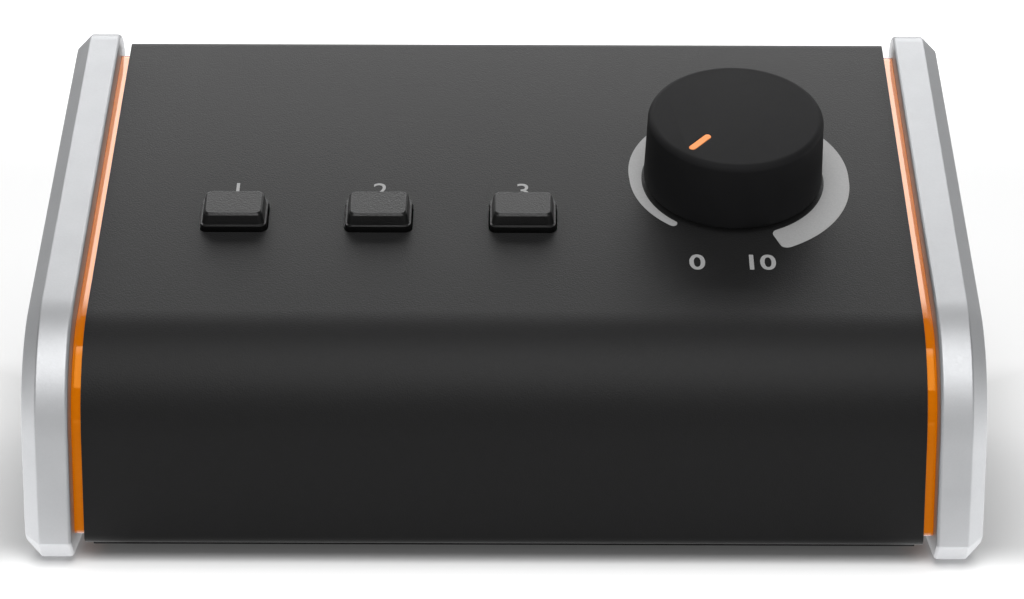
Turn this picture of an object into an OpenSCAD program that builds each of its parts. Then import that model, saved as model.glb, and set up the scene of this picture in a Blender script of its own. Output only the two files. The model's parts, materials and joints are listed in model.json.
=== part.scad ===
// Studio monitor controller: a wedge-shaped desktop box with three push
// buttons, one large volume knob and a row of sockets on the back.
// Millimetres. X runs to the right, Y to the back, Z up from the table.
// The origin is on the table, under the middle of the whole footprint.

/* [Housing] */
// Width of the bent steel cover, between the two coloured spacers
body_w = 156; // [150:1:180]
// Depth of the cover, from its front face to its back face
body_d = 96.5; // [92:0.5:120]
// Height above the cover's bottom where the front and top planes would meet
front_h = 35.6; // [32:0.2:45]
// Slope of the top panel
slope = 24; // [18:1:28]
// Outside radius of the large bend between front and top
bend_r = 23; // [15:1:26]
// Outside radius of the small bend at the back of the top panel
rear_r = 2.5; // [2:0.5:4]
// Thickness of the steel sheet
sheet = 1.5; // [1:0.1:2]
// Width of the cover's two bottom flanges
flange_w = 18; // [17.5:0.5:20]

/* [Ends] */
// Thickness of each coloured acrylic spacer
spacer_t = 2; // [1.5:0.5:4]
// How far a spacer's edge lies inside the cover's outline
spacer_inset = 1.5; // [0.5:0.1:3]
// Thickness of each aluminium cheek
cheek_t = 9; // [7:0.5:12]
// How far a cheek stands out past the cover's outline
cheek_proud = 3; // [1:0.5:5]
// How far a cheek reaches below the cover
cheek_drop = 2.5; // [1:0.1:2.5]
// Outer chamfer of a cheek
cheek_chamfer = 3; // [1:0.5:4]
// Inner edge bevel of a cheek
cheek_bevel = 0.5; // [0.2:0.1:1]
// Chamfer at a cheek's lower front corner
cheek_toe = 3.5; // [2:0.5:5]
// Radius of a cheek's upper back corner
cheek_rear_r = 7; // [4:0.5:10]

/* [Controls] */
// Height of the knob above the panel
knob_top = 15.5; // [13:0.5:18]
// Diameter of the knob at its lower edge
knob_d = 35; // [30:0.5:38]
// Gap between the knob and the panel
knob_lift = 1.1; // [0.5:0.1:2]
// Distance of the knob's axis from the cover's right end
knob_end = 33.4; // [30:0.2:40]
// Distance of the knob's axis from the panel's back edge, down the slope
knob_back = 49.6; // [46:0.2:56]
// Pointer direction of the knob as shown, counted from straight down
pointer_angle = 40; // [30:1:60]
// Width of a button cap at the panel
cap_w = 12.7; // [11:0.1:15]
// Length of a button cap at the panel
cap_l = 9.1; // [8:0.1:11]
// Height of a button cap above the panel
cap_h = 3.6; // [3:0.1:5]
// How far a button travels
button_travel = 2; // [1:0.1:2.2]
// Distance between neighbouring buttons
button_pitch = 27.9; // [24:0.1:30]
// Distance of the middle button from the cover's left end
button_end = 53.5; // [50:0.1:58]
// Distance of the buttons' middles from the panel's back edge, down the slope
button_back = 62.1; // [60:0.1:67]

/* [Sockets] */
// Diameter of the opening for a jack plug in the combined sockets
jack_d = 6.4; // [6.3:0.1:6.6]
// Diameter of the opening for the small jack plug
mini_jack_d = 3.6; // [3.5:0.1:3.7]
// Inside diameter of a round socket shell
shell_bore_d = 19.4; // [19:0.1:20]
// Outside diameter of a round socket shell
shell_d = 23.6; // [23.2:0.1:24]
// Distance between the middles of neighbouring round sockets
socket_step = 30; // [28:0.5:31]
// Distance of an outer socket's middle from the cover's end
socket_end = 21; // [20:0.5:26]
// Height of the socket row above the table
socket_z = 42; // [36:1:48]

/* [Feet] */
// Diameter of a rubber foot
foot_d = 12; // [8:0.5:14]
// Thickness of a rubber foot
foot_h = 2.5; // [2.5:0.1:4]

/* [Fits] */
// Clearance each side of a cap in its window
cap_gap = 0.3; // [0.2:0.05:0.5]
// Running clearance, radial, of the knob shaft in its bushing
shaft_fit = 0.05; // [0.02:0.01:0.1]
// Sliding clearance each side of a plunger or a latch
slide_fit = 0.1; // [0.05:0.01:0.2]
// Clearance each side of a fixed piece in its place
seat_fit = 0.1; // [0.05:0.01:0.3]

/* [Hidden] */
$fn = 96;
cut = 1;                               // how far a cutter runs past a face
skin = 0.01;                           // thickness of a slice under a hull

latch_out = 7;                         // how far a latch stands out at the back
front_y = -(body_d + latch_out - cheek_proud)/2;
rear_y = front_y + body_d;
middle_y = (front_y + rear_y)/2;
base_z = foot_h;
cover_z = base_z + sheet;              // underside of the cover
corner_z = cover_z + front_h;
panel_end = body_d/cos(slope);         // back edge, up the panel from the bend corner
knob_q = panel_end - knob_back;
button_q = panel_end - button_back;
end_x = body_w/2;
knob_x = end_x - knob_end;
button_x = button_end - end_x;         // the middle button
cheek_x = end_x + spacer_t;
bottom_r = 2;                          // bottom bends of the cover
cheek_heel_r = cheek_chamfer + 0.2;    // lower back corner of a cheek
spacer_low_r = 1;
inner_bend_r = 0.5;                    // inside radius of the small bends

frame_clear = 0.2;                     // side frame inside the cover
frame_flange = 14;
base_margin_x = 1;
base_margin_y = 5;

m3_r = 1.5;
m4_r = 2;
hole_gap = 0.2;                        // radial clearance of a screw hole
thread_fit = 0.05;                     // radial, screw in nut
m3_head_r = 2.9;
m3_head_h = 1.6;
m3_nut_r = 3;
m3_nut_h = 2.5;
m4_head_r = 3.9;
m4_nut_r = 4;
m4_nut_h = 3;
hex_key_m4 = 2.5;                      // across flats
hex_key_m3 = 2;
key_depth = 1.1;

base_screw_end = 8;                    // from the cover's end
base_screw_edge = 14;                  // from the cover's front or back
base_screw_x = end_x - base_screw_end;
base_screw_y = body_d/2 - base_screw_edge;
base_screw_len = 3*sheet + m3_nut_h;
foot_end = 22;                         // from the cover's end
foot_edge = 21;                        // from the cover's front or back
foot_x = end_x - foot_end;
foot_y = body_d/2 - foot_edge;
foot_edge_r = 0.6;
cheek_screw_in = 15;                   // from the front or back of the cover
cheek_screw_low = 13;                  // above the cover's bottom
cheek_screw_high = 57;
cheek_screws = [
    [front_y + cheek_screw_in, cover_z + cheek_screw_low],
    [rear_y - cheek_screw_in, cover_z + cheek_screw_low],
    [rear_y - cheek_screw_in, cover_z + cheek_screw_high]];
cheek_screw_len = cheek_t + spacer_t + sheet + m4_nut_h;

board_t = 1.6;
board_top = -14;                       // control board, measured from the panel
board_under = board_top - board_t;
board_end = 10;                        // control board, from the cover's end
board_w = body_w - 2*board_end;
board_l = 36;
board_up = 5.5;                        // its middle, up the panel from the buttons
board_q = button_q + board_up;
standoff_end = 5;                      // standoffs, from the board's ends
standoff_edge = 4;                     // and from its long edges
standoff_x = board_w/2 - standoff_end;
standoff_q = board_l/2 - standoff_edge;
standoff_af = 5;
board_screw_len = 6;

shaft_r = 3;
shaft_end = 12;
shaft_flat = 1.5;                      // depth of the D flat
flat_from = 5.5;
bushing_r = 3.5;
bushing_end = 5;
pot_r = 8.5;
pot_wall = 0.8;
pot_end = -10.5;
pot_face = 1.5;                        // thickness of the pot's front wall
wiper_r = 7;
wiper_h = -6.5;
wiper_t = 1.2;
brush_w = 1.6;
brush_t = 1;
washer_t = 0.5;
washer_r = 5.5;
nut_af = 10;
nut_h = 2;
hub_r = 5.5;
hub_from = 5.6;
knob_wall = 2.3;
knob_roof = 3.5;
knob_edge_r = 1.3;
knob_low_r = 0.4;
knob_draft = 0.5;
mark_from = 8.3;
mark_to = 14.4;
mark_w = 1.5;
mark_deep = 1;

plunger_w = 3.2;
plunger_top = 1.2;
cap_under = -3;
cap_room = 1.6;                        // left under a pressed cap
switch_w = 8.6;
switch_top = cap_under - button_travel - cap_room;
switch_room_w = 6.4;
switch_wall = 0.8;
switch_floor = 0.4;
plunger_room = 0.2;                    // left under a pressed plunger
plunger_end = board_top + switch_floor + button_travel + plunger_room;
collar_w = 5;
collar_t = 1;
collar_room = 1.1;                     // between the collar and the switch's roof
collar_top = switch_top - switch_wall - collar_room;
switch_pin_r = 0.4;
switch_pin_x = [-2.5, 0, 2.5];
switch_pin_y = [-3, 3];
solder_end = 1;                        // pins below a board
pot_pin_r = 0.5;
pot_pin_x = [-5, 0, 5];
pot_pin_y = -5.5;
cap_step = 1.2;
cap_flare = 0.35;                      // ledge between skirt and upper cap
cap_slant = 0.55;
cap_edge = 0.4;                        // bevel round the top face
cap_corner_r = 1.2;
cap_wall = 1.3;
cap_boss_w = 6;

flange_x = 26;                         // flange of a round socket
flange_z = 31;
flange_t = 2;
flange_corner_r = 2;
socket_deep = 22;                      // from the back face to the rear board
shell_hole_gap = 0.2;
socket_screw_x = 9.5;                  // 19 by 24 mm screw pattern
socket_screw_z = 12;
core_d = 15.4;                         // middle of a combined socket
core_back = 4;
core_recess = 1;
contact_hole_r = 1.3;
contact_circle_r = 5.6;
pin_r = 1.2;
pin_circle_r = 4.5;
pin_recess = 2;
tail_r = 0.5;
third_angles = [30, 150, 270];         // the three contacts of a socket
socket_screw_len = 8;
xlr_floor = -14;
latch_w = 8;
latch_h = 3.4;
latch_top = 14.6;
rail_t = 1.5;
rail_out = 6;
mini_neck_r = 3;
mini_neck_out = 3;
mini_body_w = 9;
mini_nut_r = 4.4;
mini_nut_t = 1.8;
mini_floor = 3;
mini_step = 0.5;                       // neck inside the jack's body
outer_socket_x = end_x - socket_end;
inner_socket_x = outer_socket_x - socket_step;
sockets = [-outer_socket_x, -inner_socket_x, inner_socket_x, outer_socket_x];
rear_board_y = rear_y - socket_deep - board_t;
rear_board_end = 8;                    // from the cover's end
rear_board_w = body_w - 2*rear_board_end;
rear_board_h = 38;
chip_l = 3.2;                          // a chip resistor
chip_w = 1.6;
chip_t = 0.6;
chip_step = 5;
chip_row = 4;                          // between the two rows on the control board
chip_x = -28;
chip_up = 6;                           // lower row, up from the board's middle
chip_margin = 8;                       // from the rear board's end
chip_rise = 13;                        // rows on the rear board, from its middle
header_w = 18;
header_h = 5.4;
header_l = 7;
header_up = 5;                         // up from the control board's middle
header_q = board_q + header_up;
header_drop = 10;                      // rear header, below the sockets' middles
header_z = socket_z - header_drop;
ribbon_t = 1;
ribbon_w = 15;
ribbon_lead = 4;                       // straight length out of a header

// ---- helpers ----

// A convex outline, counterclockwise, with a radius at each corner.
module rounded(points, radii) {
    n = len(points);
    to_last = [for (i = [0:n-1]) let(d = points[(i+n-1)%n] - points[i]) d/norm(d)];
    to_next = [for (i = [0:n-1]) let(d = points[(i+1)%n] - points[i]) d/norm(d)];
    half = [for (i = [0:n-1]) acos(to_last[i]*to_next[i])/2];
    run = [for (i = [0:n-1]) radii[i]/tan(half[i])];
    polygon([for (i = [0:n-1], side = radii[i] > 0 ? [0, 1] : [0])
        points[i] + run[i]*(side == 0 ? to_last[i] : to_next[i])]);
    for (i = [0:n-1]) if (radii[i] > 0) {
        middle = to_last[i] + to_next[i];
        centre = points[i] + middle/norm(middle)*radii[i]/sin(half[i]);
        intersection() {
            translate(centre) circle(r=radii[i]);
            polygon([centre, points[i] + run[i]*to_last[i], points[i],
                     points[i] + run[i]*to_next[i]]);
        }
    }
}

module rounded_rect(w, l, r) {
    rounded([[-w/2, -l/2], [w/2, -l/2], [w/2, l/2], [-w/2, l/2]], [r, r, r, r]);
}

// Height of the top plane at y, for an outline moved inwards by inset.
function top_z(y, inset) = corner_z - inset/cos(slope) + (y - front_y)*tan(slope);

// The wedge outline in Y and Z, moved inwards by inset, with its bottom at low.
module wedge(inset, low, low_r, back_r) {
    front = front_y + inset;
    back = rear_y - inset;
    rounded([[front, low], [back, low], [back, top_z(back, inset)], [front, top_z(front, inset)]],
            [low_r, low_r, back_r, bend_r - inset]);
}

// Turns a Y-Z outline into a plate that starts at x and is t thick.
module plate_x(x, t) {
    translate([x, 0, 0]) rotate([90, 0, 90]) linear_extrude(height=t) children();
}

// x across, q up the slope from the bend corner, h out of the panel.
module on_panel(x, q, h=0) {
    translate([0, front_y, corner_z]) rotate([slope, 0, 0]) translate([x, q, h]) children();
}

// x across, z up the back face; children point out of the back along +Z.
module on_back(x, z, h=0) {
    translate([x, rear_y + h, z]) rotate([-90, 0, 0]) children();
}

module hex_prism(af, h) {
    cylinder(r=af/sqrt(3), h=h, $fn=6);
}

module mirrored(side) {
    mirror([side < 0 ? 1 : 0, 0, 0]) children();
}

module at_buttons() {
    for (i = [-1:1]) on_panel(button_x + i*button_pitch, button_q) children();
}

module at_button(i) {
    on_panel(button_x + i*button_pitch, button_q) children();
}

module at_knob() {
    on_panel(knob_x, knob_q) children();
}

module at_base_screws() {
    for (sx = [-1, 1], sy = [-1, 1])
        translate([sx*base_screw_x, middle_y + sy*base_screw_y, 0]) children();
}

module at_cheek_screws() {
    for (p = cheek_screws) translate([0, p[0], p[1]]) rotate([0, 90, 0]) children();
}

module at_socket_screws() {
    for (x = sockets, s = [-1, 1]) on_back(x + s*socket_screw_x, socket_z + s*socket_screw_z) children();
}

// ---- housing ----

module cover() {
    color("#2b2b2c") difference() {
        plate_x(-end_x, body_w) wedge(0, cover_z, bottom_r, rear_r);
        plate_x(-end_x - cut, body_w + 2*cut)
            wedge(sheet, cover_z + sheet, inner_bend_r, rear_r - sheet);
        translate([-end_x - cut, front_y + flange_w, cover_z - cut])
            cube([body_w + 2*cut, body_d - 2*flange_w, sheet + 2*cut]);
        at_buttons() translate([0, 0, -sheet - cut]) linear_extrude(height=sheet + 2*cut)
            rounded_rect(cap_w + 2*cap_gap, cap_l + 2*cap_gap, cap_corner_r + cap_gap);
        at_knob() translate([0, 0, -sheet - cut])
            cylinder(r=bushing_r + hole_gap, h=sheet + 2*cut);
        for (x = sockets) on_back(x, socket_z, -sheet - cut)
            cylinder(r=shell_d/2 + shell_hole_gap, h=sheet + 2*cut);
        at_socket_screws() translate([0, 0, -sheet - cut])
            cylinder(r=m3_r + hole_gap, h=sheet + 2*cut);
        on_back(0, socket_z, -sheet - cut) cylinder(r=mini_neck_r + hole_gap, h=sheet + 2*cut);
        at_base_screws() translate([0, 0, cover_z - cut])
            cylinder(r=m3_r + hole_gap, h=sheet + 2*cut);
    }
}

module base_plate() {
    color("#303031") difference() {
        translate([-end_x + base_margin_x, front_y + base_margin_y, base_z])
            cube([body_w - 2*base_margin_x, body_d - 2*base_margin_y, sheet]);
        at_base_screws() translate([0, 0, base_z - cut])
            cylinder(r=m3_r + hole_gap, h=sheet + 2*cut);
    }
}

module side_frame(side) {
    floor_z = cover_z + sheet;
    color("#8f9194") mirrored(side) difference() {
        union() {
            plate_x(end_x - sheet, sheet)
                wedge(sheet + frame_clear, floor_z, 0, 0);
            translate([end_x - frame_flange, front_y + sheet + frame_clear, floor_z])
                cube([frame_flange, body_d - 2*(sheet + frame_clear), sheet]);
        }
        at_cheek_screws() translate([0, 0, end_x - sheet - cut])
            cylinder(r=m4_r + hole_gap, h=sheet + 2*cut);
        at_base_screws() translate([0, 0, floor_z - cut])
            cylinder(r=m3_r + hole_gap, h=sheet + 2*cut);
    }
}

module spacer(side) {
    color([0.95, 0.48, 0.05, 0.85]) mirrored(side) difference() {
        plate_x(end_x, spacer_t)
            wedge(spacer_inset, cover_z + spacer_inset, spacer_low_r, rear_r);
        at_cheek_screws() translate([0, 0, end_x - cut])
            cylinder(r=m4_r + hole_gap, h=spacer_t + 2*cut);
    }
}

// A cheek's outline, moved inwards by inset for its bevel and its chamfer.
module cheek_outline(inset) {
    out = inset - cheek_proud;
    front = front_y + out;
    back = rear_y - out;
    low = cover_z - cheek_drop + inset;
    toe = cheek_toe - inset*(2 - sqrt(2));
    rounded([[front + toe, low], [back, low], [back, top_z(back, out)],
             [front, top_z(front, out)], [front, low + toe]],
            [0, cheek_heel_r - inset, cheek_rear_r - inset, bend_r - out, 0]);
}

module cheek(side) {
    color("#d4d6d8") mirrored(side) difference() {
        hull($fn=180) {
            plate_x(cheek_x, skin) cheek_outline(cheek_bevel);
            plate_x(cheek_x + cheek_bevel, cheek_t - cheek_bevel - cheek_chamfer) cheek_outline(0);
            plate_x(cheek_x + cheek_t - skin, skin) cheek_outline(cheek_chamfer);
        }
        at_cheek_screws() {
            translate([0, 0, cheek_x - cut]) cylinder(r=m4_r + hole_gap, h=cheek_t + 2*cut);
            translate([0, 0, cheek_x + cheek_t - (m4_head_r - m4_r)])
                cylinder(r1=m4_r + hole_gap, r2=m4_head_r + hole_gap, h=m4_head_r - m4_r + 0.001);
        }
    }
}

module cheek_screw_set(side) {
    head = m4_head_r - m4_r;
    color("#b9bbbe") mirrored(side) at_cheek_screws() difference() {
        union() {
            translate([0, 0, cheek_x + cheek_t - cheek_screw_len])
                cylinder(r=m4_r, h=cheek_screw_len - head/2);
            translate([0, 0, cheek_x + cheek_t - head]) cylinder(r1=m4_r, r2=m4_head_r, h=head);
        }
        translate([0, 0, cheek_x + cheek_t - key_depth]) hex_prism(hex_key_m4, key_depth + cut);
    }
}

module cheek_nut_set(side) {
    color("#b08d3a") mirrored(side) at_cheek_screws()
        translate([0, 0, end_x - sheet - m4_nut_h]) difference() {
            cylinder(r=m4_nut_r, h=m4_nut_h);
            translate([0, 0, -cut]) cylinder(r=m4_r + thread_fit, h=m4_nut_h + 2*cut);
        }
}

module base_screws() {
    color("#8a8c8f") at_base_screws() difference() {
        union() {
            translate([0, 0, base_z - m3_head_h]) cylinder(r=m3_head_r, h=m3_head_h);
            translate([0, 0, base_z - m3_head_h]) cylinder(r=m3_r, h=m3_head_h + base_screw_len);
        }
        translate([0, 0, base_z - m3_head_h - cut]) hex_prism(hex_key_m3, key_depth + cut);
    }
}

module base_nuts() {
    color("#b08d3a") at_base_screws() translate([0, 0, cover_z + 2*sheet]) difference() {
        cylinder(r=m3_nut_r, h=m3_nut_h);
        translate([0, 0, -cut]) cylinder(r=m3_r + thread_fit, h=m3_nut_h + 2*cut);
    }
}

module rubber_feet() {
    color("#1d1d1d") for (sx = [-1, 1], sy = [-1, 1])
        translate([sx*foot_x, middle_y + sy*foot_y, 0]) rotate_extrude()
            rounded([[0, 0], [foot_d/2, 0], [foot_d/2, foot_h], [0, foot_h]], [0, foot_edge_r, 0, 0]);
}

// ---- volume control ----

// Long hole with round ends, pointing from the axis towards the front.
module pointer_slot(gap) {
    straight = mark_to - mark_from - mark_w;
    for (r = [mark_from + mark_w/2, mark_to - mark_w/2]) translate([0, -r]) circle(r=mark_w/2 - gap);
    translate([-mark_w/2 + gap, -mark_to + mark_w/2]) square([mark_w - 2*gap, straight]);
}

module d_section(gap) {
    difference() {
        circle(r=shaft_r + gap);
        translate([-shaft_r - cut, shaft_r - shaft_flat + gap]) square([2*(shaft_r + cut), 2*shaft_r]);
    }
}

module knob() {
    r = knob_d/2;
    color("#1b1b1c") at_knob() difference() {
        rotate_extrude() rounded([[0, knob_lift], [r, knob_lift], [r - knob_draft, knob_top], [0, knob_top]],
                                 [0, knob_low_r, knob_edge_r, 0]);
        translate([0, 0, knob_lift - cut]) difference() {
            cylinder(r=r - knob_wall, h=knob_top - knob_roof - knob_lift + cut);
            translate([0, 0, hub_from - knob_lift + cut]) cylinder(r=hub_r, h=knob_top);
        }
        translate([0, 0, hub_from - cut]) linear_extrude(height=shaft_end - hub_from + cut + seat_fit)
            d_section(seat_fit/2);
        translate([0, 0, knob_top - mark_deep]) rotate([0, 0, -pointer_angle])
            linear_extrude(height=mark_deep + cut) pointer_slot(0);
    }
}

module knob_pointer() {
    color("#ff9a4e") at_knob() translate([0, 0, knob_top - mark_deep]) rotate([0, 0, -pointer_angle])
        linear_extrude(height=mark_deep) pointer_slot(seat_fit/2);
}

module pot_shaft() {
    foot = pot_end + 2*pot_wall;
    color("#c9cbce") at_knob() {
        translate([0, 0, foot]) cylinder(r=shaft_r, h=flat_from - foot);
        translate([0, 0, flat_from]) linear_extrude(height=shaft_end - flat_from) d_section(0);
    }
}

module pot_wiper() {
    color("#5a4632") at_knob() translate([0, 0, wiper_h]) difference() {
        union() {
            cylinder(r=wiper_r, h=wiper_t);
            rotate([0, 0, -pointer_angle]) translate([-brush_w/2, -wiper_r, -brush_t])
                cube([brush_w, 2*brush_w, brush_t + wiper_t/2]);
        }
        translate([0, 0, -cut]) cylinder(r=shaft_r, h=wiper_t + 2*cut);
    }
}

module pot_bushing() {
    color("#c2a15a") at_knob() translate([0, 0, -sheet - pot_face]) difference() {
        cylinder(r=bushing_r, h=sheet + pot_face + bushing_end);
        translate([0, 0, -cut]) cylinder(r=shaft_r + shaft_fit, h=sheet + pot_face + bushing_end + 2*cut);
    }
}

module pot_body() {
    deep = -sheet - pot_end;
    color("#9a9c9f") at_knob() translate([0, 0, pot_end]) difference() {
        cylinder(r=pot_r, h=deep);
        translate([0, 0, pot_wall]) cylinder(r=pot_r - pot_wall, h=deep - pot_wall - pot_face);
        translate([0, 0, deep - pot_face - cut]) cylinder(r=bushing_r, h=pot_face + 2*cut);
    }
}

module pot_washer() {
    color("#c9cbce") at_knob() difference() {
        cylinder(r=washer_r, h=washer_t);
        translate([0, 0, -cut]) cylinder(r=bushing_r + thread_fit, h=washer_t + 2*cut);
    }
}

module pot_nut() {
    color("#c9cbce") at_knob() translate([0, 0, washer_t]) difference() {
        hex_prism(nut_af, nut_h);
        translate([0, 0, -cut]) cylinder(r=bushing_r + thread_fit, h=nut_h + 2*cut);
    }
}

module pot_terminals() {
    color("#d8dadc") at_knob() for (x = pot_pin_x)
        translate([x, pot_pin_y, board_under - solder_end])
            cylinder(r=pot_pin_r, h=pot_end - board_under + solder_end);
}

// ---- buttons ----

module button_cap(i) {
    top_w = cap_w - 2*(cap_flare + cap_slant);
    top_l = cap_l - 2*(cap_flare + cap_slant);
    color("#262627") at_button(i) difference() {
        union() {
            translate([0, 0, cap_under]) linear_extrude(height=cap_step - cap_under)
                rounded_rect(cap_w, cap_l, cap_corner_r);
            hull($fn=32) {
                translate([0, 0, cap_step - skin]) linear_extrude(height=skin)
                    rounded_rect(cap_w - 2*cap_flare, cap_l - 2*cap_flare, cap_corner_r);
                translate([0, 0, cap_h - cap_edge]) linear_extrude(height=skin)
                    rounded_rect(top_w + cap_edge, top_l + cap_edge, cap_corner_r);
                translate([0, 0, cap_h - skin]) linear_extrude(height=skin)
                    rounded_rect(top_w - cap_edge, top_l - cap_edge, cap_corner_r - cap_edge/2);
            }
        }
        translate([0, 0, cap_under - cut]) linear_extrude(height=cap_step - cap_under) difference() {
            square([cap_w - 2*cap_wall, cap_l - 2*cap_wall], center=true);
            square(cap_boss_w, center=true);
        }
        translate([0, 0, cap_under - cut]) linear_extrude(height=plunger_top - cap_under + cut + seat_fit)
            square(plunger_w + seat_fit, center=true);
    }
}

module plunger(i) {
    color("#e6e3d8") at_button(i) {
        translate([0, 0, plunger_end]) linear_extrude(height=plunger_top - plunger_end)
            square(plunger_w, center=true);
        translate([0, 0, collar_top - collar_t]) linear_extrude(height=collar_t)
            square(collar_w, center=true);
    }
}

module switch_body(i) {
    tall = switch_top - board_top;
    color("#333c45") at_button(i) translate([0, 0, board_top]) difference() {
        linear_extrude(height=tall) square(switch_w, center=true);
        translate([0, 0, switch_floor]) linear_extrude(height=tall - switch_floor - switch_wall)
            square(switch_room_w, center=true);
        translate([0, 0, tall - switch_wall - cut]) linear_extrude(height=switch_wall + 2*cut)
            square(plunger_w + 2*slide_fit, center=true);
    }
}

module switch_pins() {
    color("#d8dadc") at_buttons() for (x = switch_pin_x, y = switch_pin_y)
        translate([x, y, board_under - solder_end]) cylinder(r=switch_pin_r, h=board_t + solder_end);
}

// ---- boards ----

module at_standoffs() {
    for (sx = [-1, 1], sq = [-1, 1]) on_panel(sx*standoff_x, board_q + sq*standoff_q) children();
}

module control_board() {
    color("#1f5a38") difference() {
        on_panel(-board_w/2, board_q - board_l/2, board_under) cube([board_w, board_l, board_t]);
        at_standoffs() translate([0, 0, board_under - cut]) cylinder(r=m3_r + hole_gap, h=board_t + 2*cut);
        at_buttons() for (x = switch_pin_x, y = switch_pin_y)
            translate([x, y, board_under - cut]) cylinder(r=switch_pin_r + seat_fit, h=board_t + 2*cut);
        at_knob() for (x = pot_pin_x)
            translate([x, pot_pin_y, board_under - cut]) cylinder(r=pot_pin_r + seat_fit, h=board_t + 2*cut);
    }
}

module board_standoffs() {
    color("#c9cbce") at_standoffs() translate([0, 0, board_top]) difference() {
        hex_prism(standoff_af, -sheet - board_top);
        translate([0, 0, -cut]) cylinder(r=m3_r + thread_fit, h=board_screw_len + cut);
    }
}

module board_screws() {
    color("#8a8c8f") at_standoffs() {
        translate([0, 0, board_under - m3_head_h]) cylinder(r=m3_head_r, h=m3_head_h);
        translate([0, 0, board_under - m3_head_h]) cylinder(r=m3_r, h=m3_head_h + board_screw_len);
    }
}

module control_resistors() {
    color("#26282b") for (i = [0:7], j = [0:1])
        on_panel(chip_x + i*chip_step, board_q + chip_up + j*chip_row, board_top)
            cube([chip_l, chip_w, chip_t]);
}

module rear_board() {
    color("#1f5a38") difference() {
        translate([-rear_board_w/2, rear_board_y, socket_z - rear_board_h/2])
            cube([rear_board_w, board_t, rear_board_h]);
        at_tails() translate([0, 0, -board_t - cut]) cylinder(r=tail_r + seat_fit, h=board_t + 2*cut);
    }
}

module rear_resistors() {
    color("#26282b") for (i = [0:9], j = [-1, 1])
        translate([chip_margin - rear_board_w/2 + i*chip_step, rear_board_y - chip_t,
                   socket_z + j*chip_rise]) cube([chip_l, chip_t, chip_w]);
}

module control_header() {
    color("#3a3a3c") on_panel(-header_w/2, header_q, board_under - header_h)
        cube([header_w, header_l, header_h]);
}

module rear_header() {
    color("#3a3a3c") translate([-header_w/2, rear_board_y - header_h, header_z])
        cube([header_w, header_h, header_l]);
}

// The flat cable hangs down from the control board and turns into the rear one.
module ribbon_cable() {
    start_q = header_q + header_l/2;
    start_h = board_under - header_h - skin;
    start = [front_y + start_q*cos(slope) - start_h*sin(slope),
             corner_z + start_q*sin(slope) + start_h*cos(slope)];
    goal = [rear_board_y - header_h - skin, header_z + header_l/2];
    points = [start, start + ribbon_lead*[sin(slope), -cos(slope)],
              goal + [-ribbon_lead - ribbon_t, 3*ribbon_t], goal - [ribbon_lead, 0], goal];
    color("#9fa3a8") plate_x(-ribbon_w/2, ribbon_w) {
        for (i = [0:len(points)-2]) {
            step = points[i+1] - points[i];
            translate(points[i]) rotate([0, 0, atan2(step[1], step[0])])
                translate([0, -ribbon_t/2]) square([norm(step), ribbon_t]);
        }
        for (i = [1:len(points)-2]) translate(points[i]) circle(r=ribbon_t/2);
    }
}

// ---- sockets on the back ----

// Flange of a round socket with its two countersunk screw holes.
module socket_flange() {
    difference() {
        linear_extrude(height=flange_t) rounded_rect(flange_x, flange_z, flange_corner_r);
        for (s = [-1, 1]) translate([s*socket_screw_x, -s*socket_screw_z, 0]) {
            translate([0, 0, -cut]) cylinder(r=m3_r + hole_gap, h=flange_t + 2*cut);
            translate([0, 0, flange_t - (m3_head_r - m3_r)])
                cylinder(r1=m3_r + hole_gap, r2=m3_head_r + hole_gap, h=m3_head_r - m3_r + 0.001);
        }
    }
}

module combo_shell(x) {
    color("#232324") on_back(x, socket_z) difference() {
        union() {
            socket_flange();
            translate([0, 0, -socket_deep]) cylinder(r=shell_d/2, h=socket_deep + flange_t);
            for (s = [0, 1]) mirror([s, 0, 0])
                translate([latch_w/2 + slide_fit, -flange_z/2, flange_t/2])
                    cube([rail_t, flange_z/2 - shell_bore_d/2, rail_out - flange_t/2]);
        }
        translate([0, 0, -socket_deep - cut]) cylinder(r=shell_bore_d/2, h=socket_deep + flange_t + 2*cut);
    }
}

module combo_core(x) {
    color("#121213") on_back(x, socket_z) translate([0, 0, -socket_deep]) difference() {
        union() {
            cylinder(r=core_d/2, h=socket_deep + flange_t - core_recess);
            cylinder(r=shell_bore_d/2, h=core_back);
        }
        translate([0, 0, -cut]) cylinder(r=jack_d/2, h=socket_deep + flange_t + 2*cut);
        for (a = third_angles) rotate([0, 0, a]) translate([contact_circle_r, 0, core_back])
            cylinder(r=contact_hole_r, h=socket_deep + flange_t);
    }
}

module latch(x) {
    color("#8f9194") on_back(x, socket_z, flange_t + slide_fit)
        translate([-latch_w/2, -latch_top, 0]) cube([latch_w, latch_h, latch_out - flange_t - slide_fit]);
}

module output_shell(x) {
    color("#a4a6a9") on_back(x, socket_z) difference() {
        union() {
            socket_flange();
            translate([0, 0, -socket_deep]) cylinder(r=shell_d/2, h=socket_deep + flange_t);
        }
        translate([0, 0, -socket_deep - cut]) cylinder(r=shell_bore_d/2, h=socket_deep + flange_t + 2*cut);
    }
}

module output_insert(x) {
    color("#121213") on_back(x, socket_z) translate([0, 0, -socket_deep]) difference() {
        cylinder(r=shell_bore_d/2, h=socket_deep + xlr_floor);
        for (a = third_angles) rotate([0, 0, a]) translate([pin_circle_r, 0, -cut])
            cylinder(r=pin_r, h=socket_deep + cut);
    }
}

module output_pins() {
    color("#c2a15a") for (x = [sockets[2], sockets[3]]) on_back(x, socket_z) for (a = third_angles)
        rotate([0, 0, a]) translate([pin_circle_r, 0, -socket_deep])
            cylinder(r=pin_r, h=socket_deep + flange_t - pin_recess);
}

module at_tails() {
    for (x = sockets, a = third_angles)
        on_back(x, socket_z, -socket_deep) rotate([0, 0, a]) translate([pin_circle_r, 0, 0]) children();
}

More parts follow.
